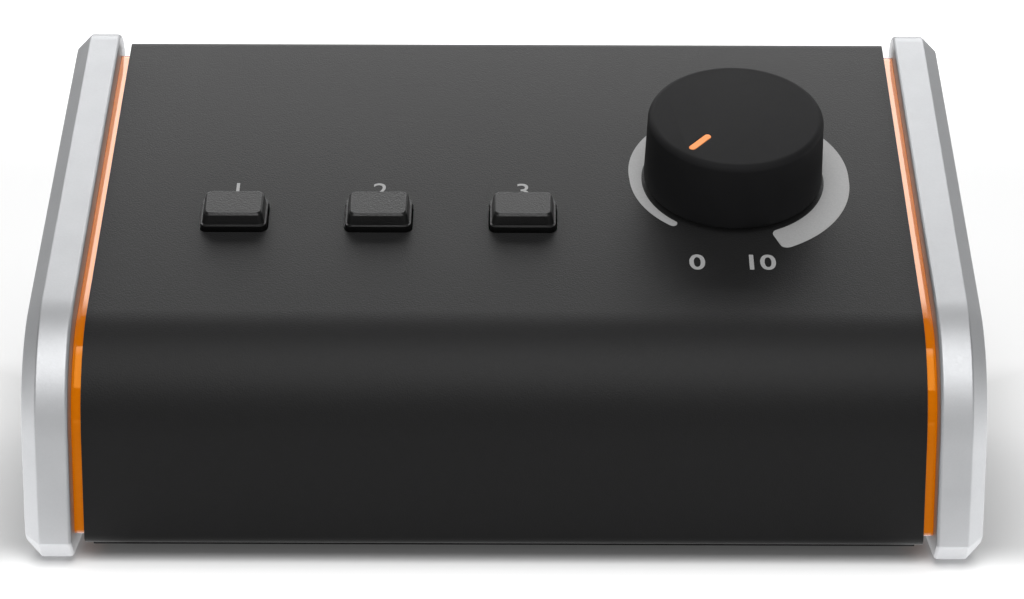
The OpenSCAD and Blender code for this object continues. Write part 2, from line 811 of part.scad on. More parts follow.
module socket_tails() {
    color("#d8dadc") at_tails() translate([0, 0, -board_t - solder_end])
        cylinder(r=tail_r, h=board_t + solder_end);
}

module socket_screws() {
    head = m3_head_r - m3_r;
    color("#2a2a2b") at_socket_screws() difference() {
        union() {
            translate([0, 0, flange_t - socket_screw_len]) cylinder(r=m3_r, h=socket_screw_len - head/2);
            translate([0, 0, flange_t - head]) cylinder(r1=m3_r, r2=m3_head_r, h=head);
        }
        translate([0, 0, flange_t - key_depth]) hex_prism(hex_key_m3, key_depth + cut);
    }
}

module mini_jack() {
    color("#1b1b1c") on_back(0, socket_z) difference() {
        union() {
            translate([-mini_body_w/2, -mini_body_w/2, -socket_deep])
                cube([mini_body_w, mini_body_w, socket_deep - sheet]);
            translate([0, 0, -sheet - mini_step])
                cylinder(r=mini_neck_r, h=sheet + mini_step + mini_neck_out);
        }
        translate([0, 0, -socket_deep + mini_floor])
            cylinder(r=mini_jack_d/2, h=socket_deep + mini_neck_out);
    }
}

module mini_jack_nut() {
    color("#c9cbce") on_back(0, socket_z) difference() {
        cylinder(r=mini_nut_r, h=mini_nut_t);
        translate([0, 0, -cut]) cylinder(r=mini_neck_r + thread_fit, h=mini_nut_t + 2*cut);
    }
}

cover();
base_plate();
side_frame(-1);  // side_frame_left
side_frame(1);  // side_frame_right
spacer(-1);  // spacer_left
spacer(1);  // spacer_right
cheek(-1);  // cheek_left
cheek(1);  // cheek_right
cheek_screw_set(-1);  // cheek_screws_left
cheek_screw_set(1);  // cheek_screws_right
cheek_nut_set(-1);  // cheek_nuts_left
cheek_nut_set(1);  // cheek_nuts_right
base_screws();
base_nuts();
rubber_feet();
knob();
knob_pointer();
pot_shaft();
pot_wiper();
pot_bushing();
pot_body();
pot_washer();
pot_nut();
pot_terminals();
button_cap(-1);  // button_cap_left
button_cap(0);  // button_cap_middle
button_cap(1);  // button_cap_right
plunger(-1);  // plunger_left
plunger(0);  // plunger_middle
plunger(1);  // plunger_right
switch_body(-1);  // switch_body_left
switch_body(0);  // switch_body_middle
switch_body(1);  // switch_body_right
switch_pins();
control_board();
board_standoffs();
board_screws();
control_resistors();
rear_board();
rear_resistors();
control_header();
rear_header();
ribbon_cable();
combo_shell(sockets[0]);  // combo_shell_left
combo_shell(sockets[1]);  // combo_shell_right
combo_core(sockets[0]);  // combo_core_left
combo_core(sockets[1]);  // combo_core_right
latch(sockets[0]);  // latch_left
latch(sockets[1]);  // latch_right
output_shell(sockets[2]);  // output_shell_left
output_shell(sockets[3]);  // output_shell_right
output_insert(sockets[2]);  // output_insert_left
output_insert(sockets[3]);  // output_insert_right
output_pins();
socket_screws();
socket_tails();
mini_jack();
mini_jack_nut();
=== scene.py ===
# A desktop studio monitor controller, dressed for the camera: a bent steel cover between two
# aluminium cheeks, three push buttons, one volume knob and a row of sockets at the back.
# Metres, in the frame of the construction: +X right, +Y back, +Z up from the table.
import json
import math

import bmesh
import bpy
from mathutils import Matrix, Vector


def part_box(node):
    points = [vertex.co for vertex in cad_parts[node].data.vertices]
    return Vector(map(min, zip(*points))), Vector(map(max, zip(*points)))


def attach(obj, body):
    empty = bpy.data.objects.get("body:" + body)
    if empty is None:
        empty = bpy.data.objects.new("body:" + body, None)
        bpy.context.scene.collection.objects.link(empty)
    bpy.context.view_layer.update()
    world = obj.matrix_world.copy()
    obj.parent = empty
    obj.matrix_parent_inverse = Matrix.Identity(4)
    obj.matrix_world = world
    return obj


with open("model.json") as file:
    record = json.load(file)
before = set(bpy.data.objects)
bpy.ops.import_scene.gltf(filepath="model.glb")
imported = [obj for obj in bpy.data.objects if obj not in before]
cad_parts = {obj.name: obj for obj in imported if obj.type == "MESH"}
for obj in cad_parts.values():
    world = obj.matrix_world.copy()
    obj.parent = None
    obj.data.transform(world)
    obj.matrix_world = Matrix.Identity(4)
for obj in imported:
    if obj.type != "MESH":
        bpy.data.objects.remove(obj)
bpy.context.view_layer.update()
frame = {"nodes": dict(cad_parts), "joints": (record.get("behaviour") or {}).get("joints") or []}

# ---- Camera ----
# A long lens a good arm's length away, straight in front and a little above. Its place and its
# angles in degrees come from fitting the cover's edges, with no lens shift.
mm = 0.001
camera_place = Vector((2.47, -614.47, 202.17)) * mm
camera_tilt_down = 14.952
camera_turn_left = 0.107
camera_roll = 0.15
lens_mm = 112.719
sensor_mm = 36


def put(name, data):
    """A new object made of that data, in the scene."""
    piece = bpy.data.objects.new(name, data)
    bpy.context.scene.collection.objects.link(piece)
    return piece


camera = put("camera", bpy.data.cameras.new("camera"))
camera.data.lens = lens_mm
camera.data.sensor_width = sensor_mm
camera.data.sensor_fit = "HORIZONTAL"
camera.matrix_world = (Matrix.Translation(camera_place)
                       @ Matrix.Rotation(math.radians(camera_turn_left), 4, "Z")
                       @ Matrix.Rotation(math.radians(90 - camera_tilt_down), 4, "X")
                       @ Matrix.Rotation(math.radians(camera_roll), 4, "Z"))
bpy.context.scene.camera = camera


# ---- Studio ----
# A sheet of matt white card on the table and two large soft boxes, one high in front and one
# high behind, as in a product shot, in a room with pale walls and a dark ceiling.
def linear(colour):
    """A colour written as sRGB hex, turned to linear light."""
    parts = [int(colour[i : i + 2], 16) / 255 for i in (1, 3, 5)]
    return tuple(p / 12.92 if p <= 0.04045 else ((p + 0.055) / 1.055) ** 2.4 for p in parts) + (1,)


def add(tree, kind, inputs=None, **settings):
    """Adds a node with its settings. An input is a value, or another node's output to link."""
    node = tree.nodes.new("ShaderNode" + kind)
    for name, value in settings.items():
        setattr(node, name, value)
    for name, value in (inputs or {}).items():
        if isinstance(value, bpy.types.NodeSocket):
            tree.links.new(value, node.inputs[name])
        else:
            node.inputs[name].default_value = value
    return node


def start(name):
    """A new empty material, its tree of nodes and the place of a point in object space."""
    material = bpy.data.materials.new(name)
    material.use_nodes = True
    tree = material.node_tree
    tree.nodes.clear()
    place = add(tree, "TexCoord").outputs["Object"]
    return material, tree, place


floor_size = 12
floor_squares = 4
floor_mesh = bpy.data.meshes.new("floor")
sheet = bmesh.new()
bmesh.ops.create_grid(sheet, x_segments=floor_squares, y_segments=floor_squares, size=floor_size / 2)
sheet.to_mesh(floor_mesh)
floor = put("floor", floor_mesh)

# The card is one grey for the light that it throws back. The camera and mirror reflections see it
# darker close to the box, a painted shade round the object, and lighter further from the box, so
# that the background is white and the rendered shadow stays. Just in front of the box they see it
# lighter again, a painted light that lifts the object's shadow there. It has no underside, so a
# view from below shows the object.
card, tree, place = start("white_card")
card_grey = 0.62
card_painted_shade_at_box = 0.47
card_open = 0.77
card_painted_light_in_front = 1.15
box_half_x = 88 * mm
box_half_y = 52 * mm
shade_from, shade_to = 84 * mm, 128 * mm
front_from, front_to = -36 * mm, -62 * mm
past_from, past_to = -100 * mm, -150 * mm
spot = add(tree, "SeparateXYZ", {"Vector": place})
across = add(tree, "Math", {0: spot.outputs["X"]}, operation="ABSOLUTE")
along = add(tree, "Math", {0: spot.outputs["Y"]}, operation="ABSOLUTE")
along = add(tree, "Math", {0: along.outputs[0], 1: box_half_x - box_half_y}, operation="ADD")
away = add(tree, "Math", {0: across.outputs[0], 1: along.outputs[0]}, operation="MAXIMUM")
painted_shade_around = add(tree, "MapRange", {"Value": away.outputs[0], "From Min": shade_from, "From Max": shade_to,
                                "To Min": card_painted_shade_at_box, "To Max": card_open}, interpolation_type="SMOOTHSTEP")
past = add(tree, "MapRange", {"Value": spot.outputs["Y"], "From Min": past_from, "From Max": past_to,
                              "To Min": card_painted_light_in_front, "To Max": painted_shade_around.outputs[0]},
           interpolation_type="SMOOTHSTEP")
# The card's colour for the camera and mirrors: painted shade close to the box, painted light just in front
# of it.
white = add(tree, "MapRange", {"Value": spot.outputs["Y"], "From Min": front_from, "From Max": front_to,
                               "To Min": painted_shade_around.outputs[0], "To Max": past.outputs[0]},
            interpolation_type="SMOOTHSTEP")
seen = add(tree, "LightPath")
direct = add(tree, "Math", {0: seen.outputs["Is Camera Ray"], 1: seen.outputs["Is Glossy Ray"]},
             operation="MAXIMUM")
direct = add(tree, "Math", {0: direct.outputs[0], 1: seen.outputs["Is Transmission Ray"]},
             operation="MAXIMUM")
shade = add(tree, "MapRange", {"Value": direct.outputs[0], "To Min": card_grey, "To Max": white.outputs[0]})
matt = add(tree, "BsdfDiffuse", {"Color": shade.outputs[0], "Roughness": 0.5})

# A glow lifts the card to white far from the box. Close to the box a weak glow, painted light,
# lifts the object's shadow. Beside the cheeks, from just before their front edges and on back, the
# card also glows for mirror reflections alone: a painted light that puts a painted highlight on
# the cheeks' lower edges.
painted_glow_at_box = 0.05
glow_far = 0.9
glow_from, glow_to = 300 * mm, 700 * mm
painted_lip_glow = 1.1
lip_from, lip_to = -72 * mm, -58 * mm
cheek_from, cheek_to = 70 * mm, 80 * mm
far = add(tree, "MapRange", {"Value": away.outputs[0], "From Min": glow_from, "From Max": glow_to,
                             "To Min": painted_glow_at_box, "To Max": glow_far}, interpolation_type="SMOOTHSTEP")
painted_lip_light = add(tree, "MapRange", {"Value": spot.outputs["Y"], "From Min": lip_from, "From Max": lip_to,
                             "To Min": 0.0, "To Max": painted_lip_glow}, interpolation_type="SMOOTHSTEP")
at_cheek = add(tree, "MapRange", {"Value": across.outputs[0], "From Min": cheek_from, "From Max": cheek_to,
                                  "To Min": 0.0, "To Max": 1.0}, interpolation_type="SMOOTHSTEP")
painted_lip_light = add(tree, "Math", {0: painted_lip_light.outputs[0], 1: seen.outputs["Is Glossy Ray"]}, operation="MULTIPLY")
painted_lip_light = add(tree, "Math", {0: painted_lip_light.outputs[0], 1: at_cheek.outputs[0]}, operation="MULTIPLY")
lift = add(tree, "Math", {0: direct.outputs[0], 1: far.outputs[0], 2: painted_lip_light.outputs[0]},
           operation="MULTIPLY_ADD")
glow = add(tree, "Emission", {"Color": (1, 1, 1, 1), "Strength": lift.outputs[0]})
paper = add(tree, "AddShader", {0: matt.outputs[0], 1: glow.outputs[0]})
below = add(tree, "BsdfTransparent")
facing = add(tree, "NewGeometry")
surface = add(tree, "MixShader", {0: facing.outputs["Backfacing"], 1: paper.outputs[0], 2: below.outputs[0]})
add(tree, "OutputMaterial", {"Surface": surface.outputs[0]})
floor_mesh.materials.append(card)

# The room: white for the camera and through clear plastic. Reflections and fill light see pale
# walls, which darken from wall_top up to ceiling_edge. Both are the sine of a height angle.
room = bpy.data.worlds.new("studio_room")
bpy.context.scene.world = room
room.use_nodes = True
tree = room.node_tree
tree.nodes.clear()
wall_light = 0.55
ceiling_light = 0.08
wall_top = 0.25
ceiling_edge = 0.85
seen = add(tree, "LightPath")
clear = add(tree, "Math", {0: seen.outputs["Is Camera Ray"], 1: seen.outputs["Is Transmission Ray"]},
            operation="MAXIMUM")
height = add(tree, "SeparateXYZ", {"Vector": add(tree, "TexCoord").outputs["Generated"]})
level = add(tree, "MapRange", {"Value": height.outputs["Z"], "From Min": wall_top, "From Max": ceiling_edge,
                               "To Min": wall_light, "To Max": ceiling_light},
            interpolation_type="SMOOTHSTEP")
walls = add(tree, "Background", {"Color": (1, 1, 1, 1), "Strength": level.outputs[0]})
backdrop = add(tree, "Background", {"Color": (1, 1, 1, 1), "Strength": 1.0})
surface = add(tree, "MixShader", {0: clear.outputs[0], 1: walls.outputs[0], 2: backdrop.outputs[0]})
add(tree, "OutputWorld", {"Surface": surface.outputs[0]})

# The dark gap between the two soft boxes gives the bend and the acrylic their dark band.
lamp_aim = Vector((0, 0, 50)) * mm


def soft_box(name, heading, low, high, width, distance, watts):
    """An area lamp that faces the object: heading 0 is in front and 180 behind, and low and high
    are how many degrees up its lower and upper edge stand."""
    middle = math.radians((low + high) / 2)
    lamp = bpy.data.lights.new(name, "AREA")
    lamp.shape = "RECTANGLE"
    lamp.size = width
    lamp.size_y = 2 * distance * math.tan(math.radians(high - low) / 2)
    lamp.energy = watts
    turn = math.radians(heading)
    out = Vector((math.sin(turn) * math.cos(middle), -math.cos(turn) * math.cos(middle), math.sin(middle)))
    box = put(name, lamp)
    box.location = out * distance + lamp_aim
    box.rotation_mode = "QUATERNION"
    box.rotation_quaternion = out.to_track_quat("Z", "Y")
    box.visible_camera = False


soft_box("soft_box_front", heading=0, low=30, high=74, width=0.8, distance=1.2, watts=12.5)
soft_box("soft_box_back", heading=180, low=32, high=66, width=1.7, distance=1.2, watts=13)
bpy.context.scene.view_settings.view_transform = "Standard"

# ---- Cover ----
# Front, top and back are one sheet of 1.5 mm steel, laser cut and bent on a brake, then
# powder coated black. The cut edges are rounded by the coating.
nodes = frame["nodes"]
flat_within = 0.2
edge_steps = 3


def soften(name, width, angle=35, merge=0.001, whole=True):
    """Rounds a construction node's edges that are sharper than angle, by width mm. Points closer
    than merge mm become one first, and each flat face becomes whole unless holes crowd it."""
    piece = nodes[name]
    mesh = piece.data
    if "custom_normal" in mesh.attributes:
        mesh.attributes.remove(mesh.attributes["custom_normal"])
    mesh.polygons.foreach_set("use_smooth", [True] * len(mesh.polygons))
    weld = piece.modifiers.new("weld", "WELD")
    weld.merge_threshold = merge * mm
    if whole:
        flat = piece.modifiers.new("flat_faces", "DECIMATE")
        flat.decimate_type = "DISSOLVE"
        flat.angle_limit = math.radians(flat_within)
    edge = piece.modifiers.new("edges", "BEVEL")
    edge.width = width * mm
    edge.segments = edge_steps
    edge.limit_method = "ANGLE"
    edge.angle_limit = math.radians(angle)
    edge.harden_normals = True
    edge.use_clamp_overlap = False


def coat(name, material):
    """Puts one finish on a construction node in place of the plain one it came with."""
    nodes[name].data.materials.clear()
    nodes[name].data.materials.append(material)


def cells(size):
    """Scale of a pattern whose cells are size mm wide, in object space."""
    return 1 / (size * mm)


def powder_coat():
    """Black polyester powder, fine texture: a dull skin of fused grains that scatters the
    lamps into a soft grey sheen and never shows a clear reflection."""
    material, tree, place = start("black_powder_coat")
    # Real grains are about 0.15 mm wide. They are drawn wider, so that they show.
    grain_mm = 0.28
    grain_relief_mm = 0.045
    peel_mm = 1.6
    peel_relief_mm = 0.03
    grain = add(tree, "TexNoise", {"Vector": place, "Scale": cells(grain_mm), "Detail": 2.0})
    peel = add(tree, "TexNoise", {"Vector": place, "Scale": cells(peel_mm), "Detail": 3.0})
    tone = add(tree, "ValToRGB", {"Fac": peel.outputs["Fac"]})
    tone.color_ramp.elements[0].color = linear("#090909")
    tone.color_ramp.elements[1].color = linear("#0E0E0F")
    rough = add(tree, "MapRange", {"Value": grain.outputs["Fac"], "To Min": 0.4, "To Max": 0.52})
    low = add(tree, "Bump", {"Height": peel.outputs["Fac"], "Strength": 0.25,
                             "Distance": peel_relief_mm * mm})
    fine = add(tree, "Bump", {"Height": grain.outputs["Fac"], "Normal": low.outputs[0],
                              "Strength": 1.0, "Distance": grain_relief_mm * mm})
    shader = add(tree, "BsdfPrincipled", {"Base Color": tone.outputs["Color"], "Roughness": rough.outputs[0],
                                          "Normal": fine.outputs[0], "Specular IOR Level": 0.17,
                                          "Sheen Weight": 0.35, "Sheen Roughness": 0.4})
    add(tree, "OutputMaterial", {"Surface": shader.outputs[0]})
    return material


black_powder = powder_coat()
coat("cover", black_powder)
soften("cover", 0.05)

# ---- Base plate ----
# A flat lid of the same sheet steel with the same coating. Four screws go up through it and the
# cover's rim to press nuts on the side frames.
coat("base_plate", black_powder)
soften("base_plate", 0.08)


# ---- Side frames ----
# A steel plate with one folded flange inside each open end of the cover, which carries the
# spacer and the cheek. It is laser cut, bent and then zinc plated.
def zinc_plate():
    """Bright zinc on sheet steel: soft grey metal with a faint cloudy crystal pattern."""
    material, tree, place = start("zinc_plated_steel")
    crystal_mm = 2.5
    grain_mm = 0.4
    grain_relief_mm = 0.02
    crystal = add(tree, "TexVoronoi", {"Vector": place, "Scale": cells(crystal_mm)})
    tone = add(tree, "ValToRGB", {"Fac": crystal.outputs["Distance"]})
    tone.color_ramp.elements[0].color = linear("#A9ACAF")
    tone.color_ramp.elements[1].color = linear("#C3C6C9")
    rough = add(tree, "MapRange", {"Value": crystal.outputs["Distance"], "To Min": 0.3, "To Max": 0.42})
    grain = add(tree, "TexNoise", {"Vector": place, "Scale": cells(grain_mm), "Detail": 2.0})
    fine = add(tree, "Bump", {"Height": grain.outputs["Fac"], "Strength": 0.15,
                              "Distance": grain_relief_mm * mm})
    shader = add(tree, "BsdfPrincipled", {"Base Color": tone.outputs["Color"], "Roughness": rough.outputs[0],
                                          "Normal": fine.outputs[0], "Metallic": 1.0})
    add(tree, "OutputMaterial", {"Surface": shader.outputs[0]})
    return material


zinc = zinc_plate()
for side in ("left", "right"):
    coat("side_frame_" + side, zinc)
    soften("side_frame_" + side, 0.12)


# ---- Spacers ----
# Two millimetres of clear orange acrylic, laser cut, so the edge that shows is polished. The
# black cover and the grey cheek on its faces make it a deep orange with pale lamp reflections.
def orange_acrylic():
    """Cast acrylic: a clear glossy body with an even orange glow, a painted light that stands in for
    the light the sheet carries from the lamps and lights its edge also where the cheek shades it.
    Seen at a slant its polished edge mirrors the lamps, which a second gloss adds."""
    material, tree, place = start("orange_acrylic")
    cut_mm = 0.9
    cut_relief_mm = 0.03
    lines = add(tree, "TexNoise", {"Vector": place, "Scale": cells(cut_mm), "Detail": 2.0})
    tone = add(tree, "ValToRGB", {"Fac": lines.outputs["Fac"]})
    tone.color_ramp.elements[0].color = linear("#A85A00")
    tone.color_ramp.elements[1].color = linear("#B26000")
    ripple = add(tree, "Bump", {"Height": lines.outputs["Fac"], "Strength": 0.08,
                                "Distance": cut_relief_mm * mm})
    # The orange emission is painted light: the sheet glows evenly, though it is no lamp.
    shader = add(tree, "BsdfPrincipled", {"Base Color": tone.outputs["Color"], "Normal": ripple.outputs[0],
                                          "Roughness": 0.06, "IOR": 1.49, "Specular IOR Level": 0.6,
                                          "Specular Tint": linear("#FFB458"),
                                          "Emission Color": linear("#FF8200"), "Emission Strength": 0.2})
    gloss = add(tree, "BsdfGlossy", {"Color": (1, 1, 1, 1), "Roughness": 0.06})
    slant = add(tree, "MapRange", {"Value": add(tree, "LayerWeight").outputs["Facing"], "From Min": 0.1,
                                   "From Max": 0.6, "To Min": 0.0, "To Max": 0.18})
    surface = add(tree, "MixShader", {0: slant.outputs[0], 1: shader.outputs[0], 2: gloss.outputs[0]})
    add(tree, "OutputMaterial", {"Surface": surface.outputs[0]})
    return material


acrylic = orange_acrylic()
for side in ("left", "right"):
    coat("spacer_" + side, acrylic)
    soften("spacer_" + side, 0.12)


# ---- Cheeks ----
# Nine millimetre aluminium plate, milled to shape with a wide outer chamfer, bead blasted
# and clear anodised. Three countersunk screws hold each one to the side frame.
def blasted_aluminium():
    """Bead blasted and clear anodised aluminium: pale satin metal, dimpled by fine beads, that
    spreads each lamp into a broad glow with a fine sparkle."""
    material, tree, place = start("bead_blasted_aluminium")
    # Real dimples are about 0.1 mm wide. They are drawn wider, so that they show.
    dimple_mm = 0.4
    dimple_relief_mm = 0.025
    cloud_mm = 9.0
    dimple = add(tree, "TexNoise", {"Vector": place, "Scale": cells(dimple_mm), "Detail": 2.0})
    cloud = add(tree, "TexNoise", {"Vector": place, "Scale": cells(cloud_mm), "Detail": 3.0})
    tone = add(tree, "ValToRGB", {"Fac": cloud.outputs["Fac"]})
    tone.color_ramp.elements[0].color = linear("#A5A6A8")
    tone.color_ramp.elements[1].color = linear("#B0B1B3")
    rough = add(tree, "MapRange", {"Value": dimple.outputs["Fac"], "To Min": 0.43, "To Max": 0.57})
    fine = add(tree, "Bump", {"Height": dimple.outputs["Fac"], "Strength": 0.45,
                              "Distance": dimple_relief_mm * mm})
    shader = add(tree, "BsdfPrincipled", {"Base Color": tone.outputs["Color"], "Roughness": rough.outputs[0],
                                          "Normal": fine.outputs[0], "Metallic": 1.0})
    add(tree, "OutputMaterial", {"Surface": shader.outputs[0]})
    return material


aluminium = blasted_aluminium()
for side in ("left", "right"):
    coat("cheek_" + side, aluminium)
    soften("cheek_" + side, 0.25, angle=25, merge=0.1)


# ---- Screws and nuts ----
# Countersunk steel screws, three through each cheek, four black screws through the base plate,
# and the brass press nuts that they turn into.
def plated_metal(name, dark, light):
    """Turned or stamped and then plated metal: harder and brighter than sheet, with a gloss
    that clouds a little from spot to spot."""
    material, tree, place = start(name)
    cloud_mm = 0.5
    cloud = add(tree, "TexNoise", {"Vector": place, "Scale": cells(cloud_mm), "Detail": 2.0})
    tone = add(tree, "ValToRGB", {"Fac": cloud.outputs["Fac"]})
    tone.color_ramp.elements[0].color = linear(dark)
    tone.color_ramp.elements[1].color = linear(light)
    rough = add(tree, "MapRange", {"Value": cloud.outputs["Fac"], "To Min": 0.22, "To Max": 0.36})
    shader = add(tree, "BsdfPrincipled", {"Base Color": tone.outputs["Color"], "Roughness": rough.outputs[0],
                                          "Metallic": 1.0})
    add(tree, "OutputMaterial", {"Surface": shader.outputs[0]})
    return material


# Nickel plated steel is cool grey, blackened steel nearly black with a metal shine, and plain
# brass a dull yellow.
screw_steel = plated_metal("screw_steel", "#9A9C9F", "#B4B6B9")
black_steel = plated_metal("blackened_steel", "#262627", "#343436")
brass = plated_metal("plain_brass", "#A98A45", "#C2A25A")
for side in ("left", "right"):
    coat("cheek_screws_" + side, screw_steel)
    coat("cheek_nuts_" + side, brass)
    soften("cheek_screws_" + side, 0.1)
coat("base_screws", black_steel)
coat("base_nuts", brass)
soften("base_screws", 0.1)


# ---- Feet ----
# Four discs of moulded rubber under the corners of the base plate. They are glued on and keep
# the box from sliding.
def soft_rubber():
    """Moulded rubber: near black, matt, with a faint bloom."""
    material, tree, place = start("moulded_rubber")
    bloom_mm = 3.0
    bloom_relief_mm = 0.05
    bloom = add(tree, "TexNoise", {"Vector": place, "Scale": cells(bloom_mm), "Detail": 4.0})
    tone = add(tree, "ValToRGB", {"Fac": bloom.outputs["Fac"]})
    tone.color_ramp.elements[0].color = linear("#18181A")
    tone.color_ramp.elements[1].color = linear("#242426")
    fine = add(tree, "Bump", {"Height": bloom.outputs["Fac"], "Strength": 0.2,
                              "Distance": bloom_relief_mm * mm})
    shader = add(tree, "BsdfPrincipled", {"Base Color": tone.outputs["Color"], "Normal": fine.outputs[0],
                                          "Roughness": 0.75})
    add(tree, "OutputMaterial", {"Surface": shader.outputs[0]})
    return material


coat("rubber_feet", soft_rubber())
soften("rubber_feet", 0.1, angle=60)


# ---- Volume knob ----
# A moulded knob with a soft-touch lacquer, pushed on the control's shaft, and an orange
# pointer of bare plastic pressed into a slot in its top.
def moulded_plastic(name, dark, light, grain_mm, rough, specular, relief_mm=0.003):
    """Moulded plastic with a spark-eroded grain from its tool: satin, with soft highlights. The
    real grain is about 0.1 mm wide, and is drawn at grain_mm so that it shows."""
    material, tree, place = start(name)
    cloud_grains = 12
    grain = add(tree, "TexNoise", {"Vector": place, "Scale": cells(grain_mm), "Detail": 2.0})
    cloud = add(tree, "TexNoise", {"Vector": place, "Scale": cells(cloud_grains * grain_mm), "Detail": 2.0})
    tone = add(tree, "ValToRGB", {"Fac": cloud.outputs["Fac"]})
    tone.color_ramp.elements[0].color = linear(dark)
    tone.color_ramp.elements[1].color = linear(light)
    gloss = add(tree, "MapRange", {"Value": grain.outputs["Fac"], "To Min": rough[0], "To Max": rough[1]})
    fine = add(tree, "Bump", {"Height": grain.outputs["Fac"], "Strength": 1.0, "Distance": relief_mm * mm})
    shader = add(tree, "BsdfPrincipled", {"Base Color": tone.outputs["Color"], "Roughness": gloss.outputs[0],
                                          "Normal": fine.outputs[0], "Specular IOR Level": specular})
    add(tree, "OutputMaterial", {"Surface": shader.outputs[0]})
    return material


# The lacquer is a velvety black that hardly shines. The pointer is satin and a little pale.
soft_touch = moulded_plastic("soft_touch_lacquer", "#0F0F10", "#141415", grain_mm=0.25,
                             rough=(0.62, 0.74), specular=0.13)
orange_plastic = moulded_plastic("orange_pointer_plastic", "#EC8A48", "#F29A5C", grain_mm=0.2,
                                 rough=(0.4, 0.5), specular=0.2)
coat("knob", soft_touch)
coat("knob_pointer", orange_plastic)
soften("knob", 0.15, angle=50)
soften("knob_pointer", 0.1)

# ---- Volume control under the knob ----
# A single-turn potentiometer: steel can, brass bushing, aluminium shaft and a brown phenolic
# wiper plate. Its bushing passes through the panel, where a washer and a nut clamp it.
# Turned aluminium looks bright and cool, nickel a little yellow and tinned copper palest.
turned_aluminium = plated_metal("turned_aluminium", "#C0C1C3", "#D2D3D5")
nickel = plated_metal("nickel_plate", "#B9B5AC", "#CFCBC1")
tinned = plated_metal("tinned_copper", "#C4C6C8", "#D8DADB")
brown_board = moulded_plastic("paper_phenolic", "#4A3322", "#5C4230", grain_mm=0.4,
                              rough=(0.45, 0.55), specular=0.4)
for name, finish in (
    ("pot_body", zinc),
    ("pot_bushing", brass),
    ("pot_shaft", turned_aluminium),
    ("pot_washer", nickel),
    ("pot_nut", nickel),
    ("pot_terminals", tinned),
):
    coat(name, finish)
    soften(name, 0.1)
coat("pot_wiper", brown_board)

# ---- Buttons and switches ----
# Oblong ABS caps, each pressed on the nylon plunger of a latching switch, which is soldered to
# the board under the panel.
# The caps are deep black with a grain that sparkles under the back lamp. The plungers are milky
# and the switch housings a dull blue grey.
cap_plastic = moulded_plastic("black_abs", "#040404", "#060606", grain_mm=0.32,
                              rough=(0.26, 0.36), specular=0.33, relief_mm=0.055)
natural_nylon = moulded_plastic("natural_nylon", "#D9D5C8", "#E4E0D4", grain_mm=0.3,
                                rough=(0.4, 0.5), specular=0.5)
switch_plastic = moulded_plastic("glass_filled_nylon", "#2F363C", "#3A4248", grain_mm=0.3,
                                 rough=(0.5, 0.6), specular=0.4)
for button in ("left", "middle", "right"):
    coat("button_cap_" + button, cap_plastic)
    coat("plunger_" + button, natural_nylon)
    coat("switch_body_" + button, switch_plastic)
    soften("button_cap_" + button, 0.08, angle=20, merge=0.2)
    soften("plunger_" + button, 0.15)
    soften("switch_body_" + button, 0.15)
coat("switch_pins", tinned)


# ---- Circuit boards ----
# Two glass fibre boards with green solder mask, one screwed to standoffs under the panel and
# one soldered to the sockets' tails. A flat cable joins their pin headers.
def solder_mask():
    """Green solder mask over copper: glossy lacquer with lighter tracks showing through."""
    material, tree, place = start("green_solder_mask")
    track_mm = 2.2
    track_relief_mm = 0.03
    tracks_in_a_unit = 4
    tracks = add(tree, "TexBrick", {"Vector": place, "Scale": cells(track_mm) / tracks_in_a_unit,
                                    "Mortar Size": 0.03, "Color1": linear("#1B5535"),
                                    "Color2": linear("#1F5E3B"), "Mortar": linear("#2E7A4E")})
    edge = add(tree, "Bump", {"Height": tracks.outputs["Fac"], "Strength": 0.3,
                              "Distance": track_relief_mm * mm})
    shader = add(tree, "BsdfPrincipled", {"Base Color": tracks.outputs["Color"], "Normal": edge.outputs[0],
                                          "Roughness": 0.3})
    add(tree, "OutputMaterial", {"Surface": shader.outputs[0]})
    return material


def ribbed_cable():
    """Grey PVC flat cable: ten round wires side by side, so the surface is ribbed."""
    material, tree, place = start("grey_ribbon_pvc")
    wire_mm = 1.5
    wire_relief_mm = 0.2
    # A wave of scale 1 repeats every pi / 10 units.
    ribs = add(tree, "TexWave", {"Vector": place, "Scale": cells(wire_mm) * math.pi / 10, "Distortion": 0.0},
               wave_type="BANDS", bands_direction="X")
    # The grey follows the ribs and is darker in the grooves between the wires: painted shade.
    tone = add(tree, "ValToRGB", {"Fac": ribs.outputs["Fac"]})
    tone.color_ramp.elements[0].color = linear("#85898E")
    tone.color_ramp.elements[1].color = linear("#A5A9AE")
    bump = add(tree, "Bump", {"Height": ribs.outputs["Fac"], "Strength": 0.6,
                              "Distance": wire_relief_mm * mm})
    shader = add(tree, "BsdfPrincipled", {"Base Color": tone.outputs["Color"], "Normal": bump.outputs[0],
                                          "Roughness": 0.45})
    add(tree, "OutputMaterial", {"Surface": shader.outputs[0]})
    return material


# The resistors are glazed and shine a little. The headers are dull nylon.
board_green = solder_mask()
chip_black = moulded_plastic("resistor_glaze", "#202225", "#2B2D31", grain_mm=0.3,
                             rough=(0.3, 0.4), specular=0.5)
header_black = moulded_plastic("header_nylon", "#2A2A2C", "#343436", grain_mm=0.3,
                               rough=(0.45, 0.55), specular=0.4)
coat("control_board", board_green)
coat("rear_board", board_green)
coat("ribbon_cable", ribbed_cable())
for name, finish in (
    ("board_standoffs", nickel),
    ("board_screws", screw_steel),
    ("control_resistors", chip_black),
    ("rear_resistors", chip_black),
    ("control_header", header_black),
    ("rear_header", header_black),
):
    coat(name, finish)
    soften(name, 0.08)

